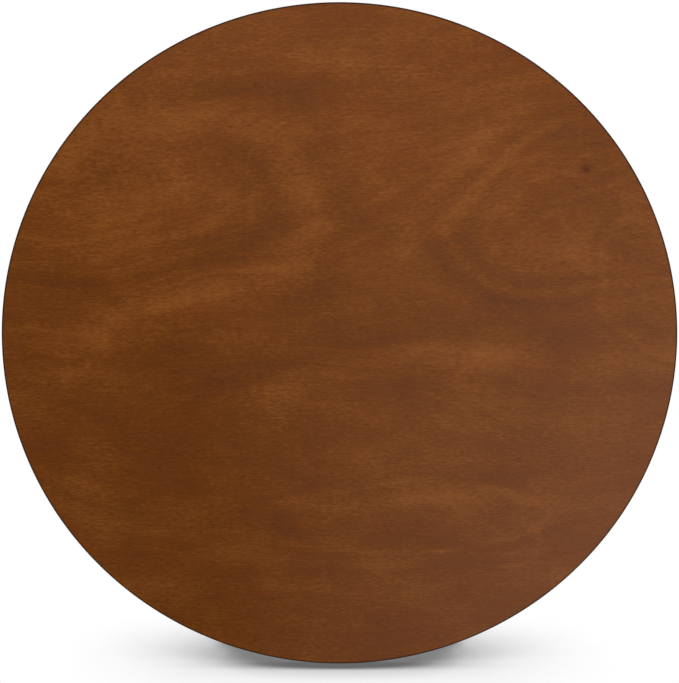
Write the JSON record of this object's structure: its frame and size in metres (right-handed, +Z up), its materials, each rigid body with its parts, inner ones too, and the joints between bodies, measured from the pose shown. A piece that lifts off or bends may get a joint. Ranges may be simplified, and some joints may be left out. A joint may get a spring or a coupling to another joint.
{
  "type": "tilt top table",
  "caption": "Round veneered coffee table on a turned pillar with splayed legs; the top tips upright on pivots in a block and a sliding catch locks it level.",
  "frame": {"origin": "on the floor, under the middle of the tipped table's bounding box", "axes": "+X along the pivot axis, -Y to the front where the tipped face looks, +Z up"},
  "size_m": [0.95, 0.4096, 0.9397],
  "materials": {
    "walnut_veneer": "satin lacquer over walnut stain",
    "stained_walnut": "satin lacquer over walnut stain",
    "core_board": "raw board",
    "beech": "raw",
    "black_steel": "matt powder coat",
    "glide_nylon": "matt",
    "felt": "felt",
    "zinced_steel": "zinc plated",
    "brass": "satin"
  },
  "bodies": {
    "base": {"pillar": "stained_walnut", "top_block": "stained_walnut", "tenon_wedge": "beech", "leg_front_left": "stained_walnut", "leg_front_right": "stained_walnut", "leg_back_right": "stained_walnut", "leg_back_left": "stained_walnut", "leg_dowels": "beech", "spider_plate": "black_steel", "spider_screws": "zinced_steel", "foot_glides": "glide_nylon", "glide_nails": "zinced_steel", "pivot_bolt_left": "zinced_steel", "pivot_bolt_right": "zinced_steel", "pivot_insert_left": "brass", "pivot_insert_right": "brass", "thrust_washers": "zinced_steel", "head_washers": "zinced_steel", "keeper_plate": "brass", "keeper_screws": "brass", "stop_pads": "felt", "rest_pads": "felt"},
    "top": {"top_core": "core_board", "face_veneer": "walnut_veneer", "back_veneer": "walnut_veneer", "edge_band": "walnut_veneer", "bearer_left": "stained_walnut", "bearer_right": "stained_walnut", "bearer_screws": "zinced_steel", "pivot_bush_left": "brass", "pivot_bush_right": "brass", "catch_plate": "brass", "catch_guides": "brass", "catch_screws": "brass"},
    "catch": {"catch_bolt": "brass", "catch_knob": "brass"}
  },
  "joints": [
    {"name": "top_tilt", "type": "hinge", "parent": "base", "child": "top", "pos_m": [0, -0.0792, 0.3519], "axis": [-1, 0, 0], "range_deg": [0, 78]},
    {"name": "catch_slide", "type": "slide", "parent": "top", "child": "catch", "axis": [0, -0.2079, -0.9781], "range_m": [0, 0.016]}
  ]
}
